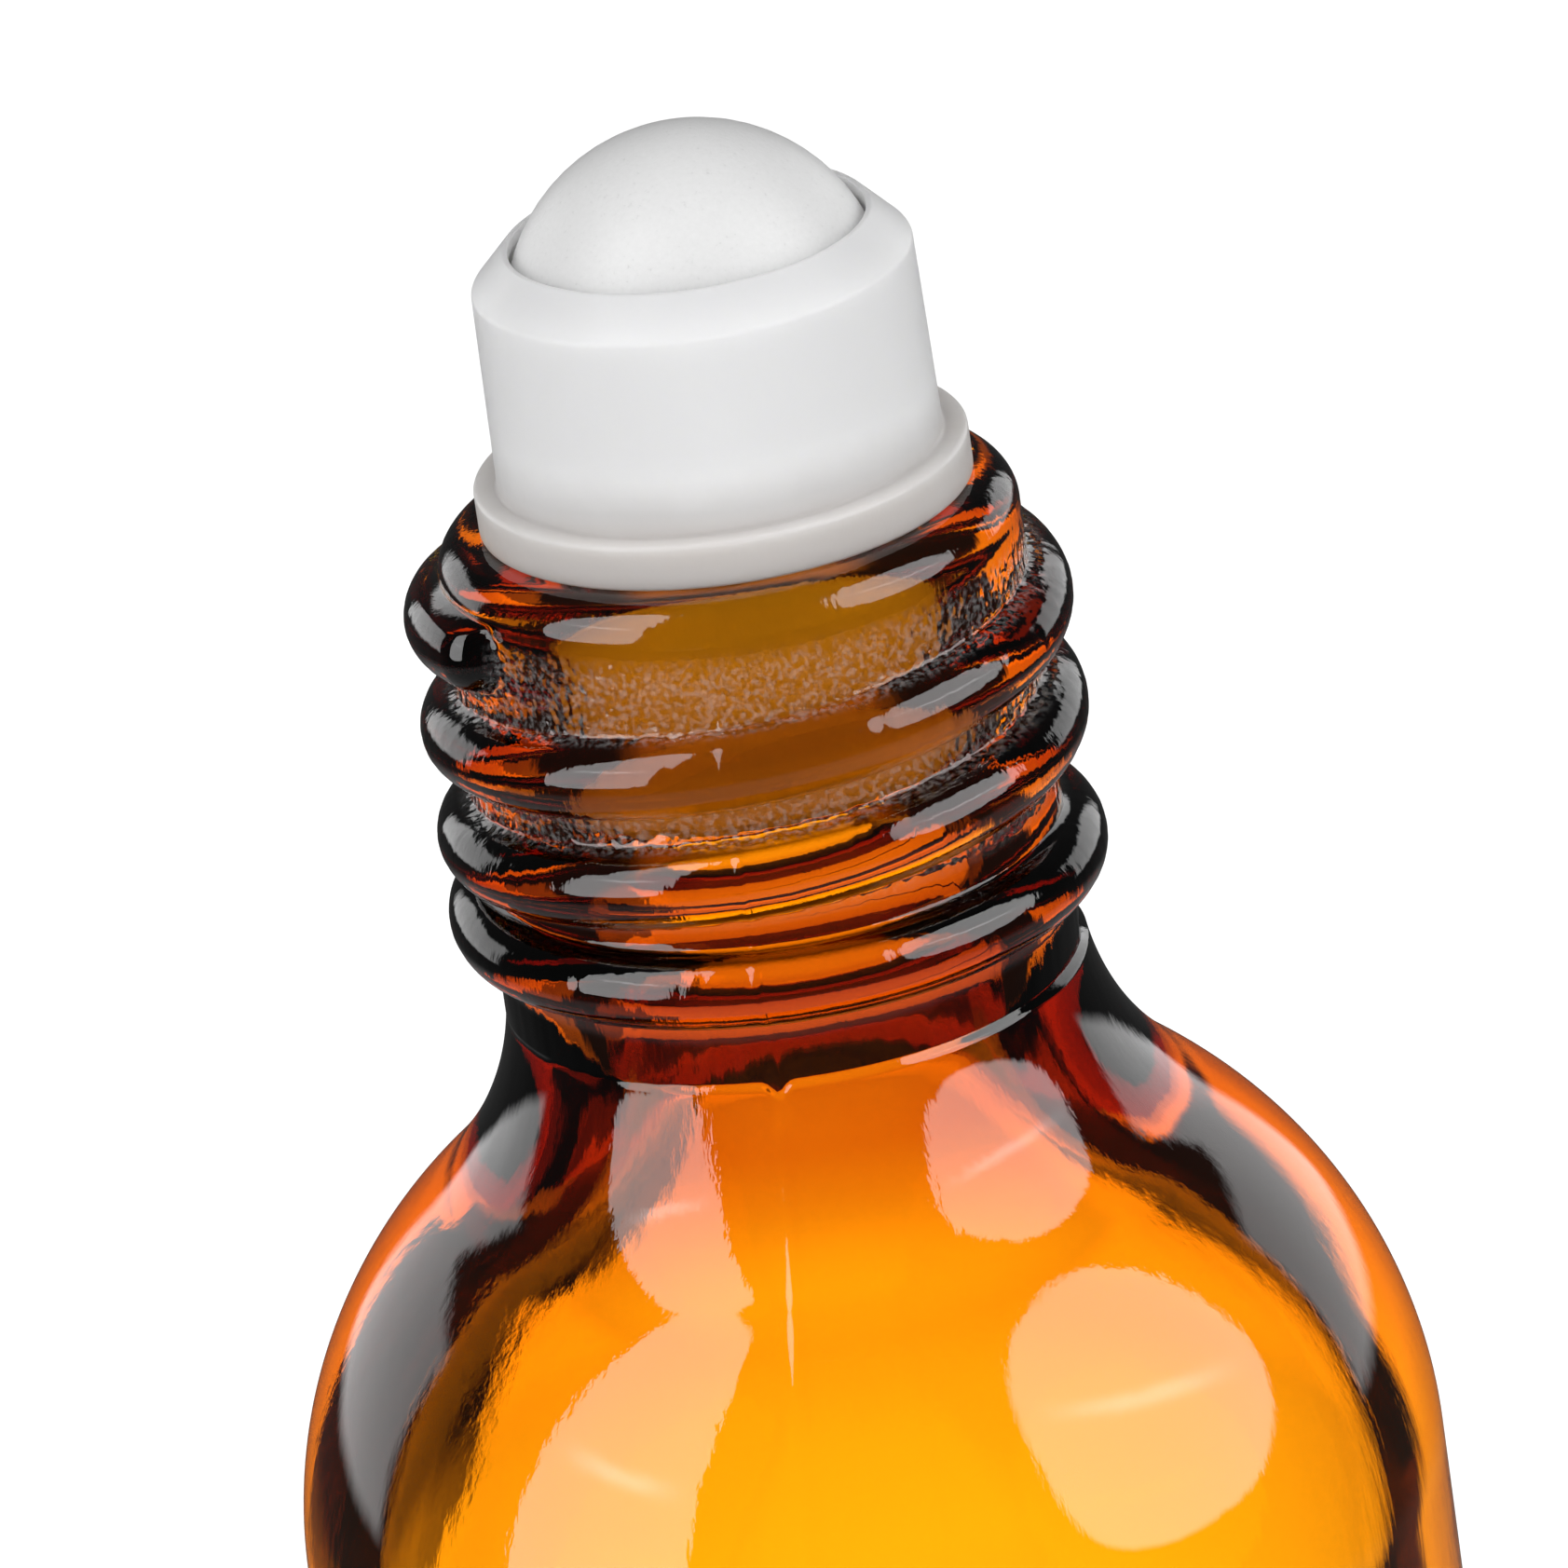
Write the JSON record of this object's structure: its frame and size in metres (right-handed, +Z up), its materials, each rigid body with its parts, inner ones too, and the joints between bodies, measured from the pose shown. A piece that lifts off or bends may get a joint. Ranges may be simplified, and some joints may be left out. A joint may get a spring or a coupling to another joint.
{
  "type": "roll on bottle",
  "caption": "Amber glass roll on bottle with a screw neck, a pressed-in plastic roller housing and a loose frosted ball that spreads the liquid",
  "frame": {"origin": "Middle of the base, on the surface that the bottle stands on.", "axes": "+Z up along the bottle's axis. +X is to the right in the picture and -Y faces its camera."},
  "size_m": [0.0314, 0.0314, 0.0895],
  "materials": {
    "amber_glass": "clear amber, fire polished, with faint mould ripples",
    "milky_plastic": "translucent natural polypropylene, satin",
    "frosted_ball": "frosted, matt, finely pitted"
  },
  "bodies": {
    "bottle": {"glass_bottle": "amber_glass"},
    "housing": {"roller_housing": "milky_plastic"},
    "ball": {"roller_ball": "frosted_ball"}
  },
  "joints": [
    {"name": "housing_pull", "type": "slide", "parent": "bottle", "child": "housing", "axis": [0, 0, 1], "range_m": [0, 0.012]},
    {"name": "ball_roll", "type": "hinge", "parent": "housing", "child": "ball", "pos_m": [0, 0, 0.08435], "axis": [1, 0, 0], "continuous": true}
  ]
}
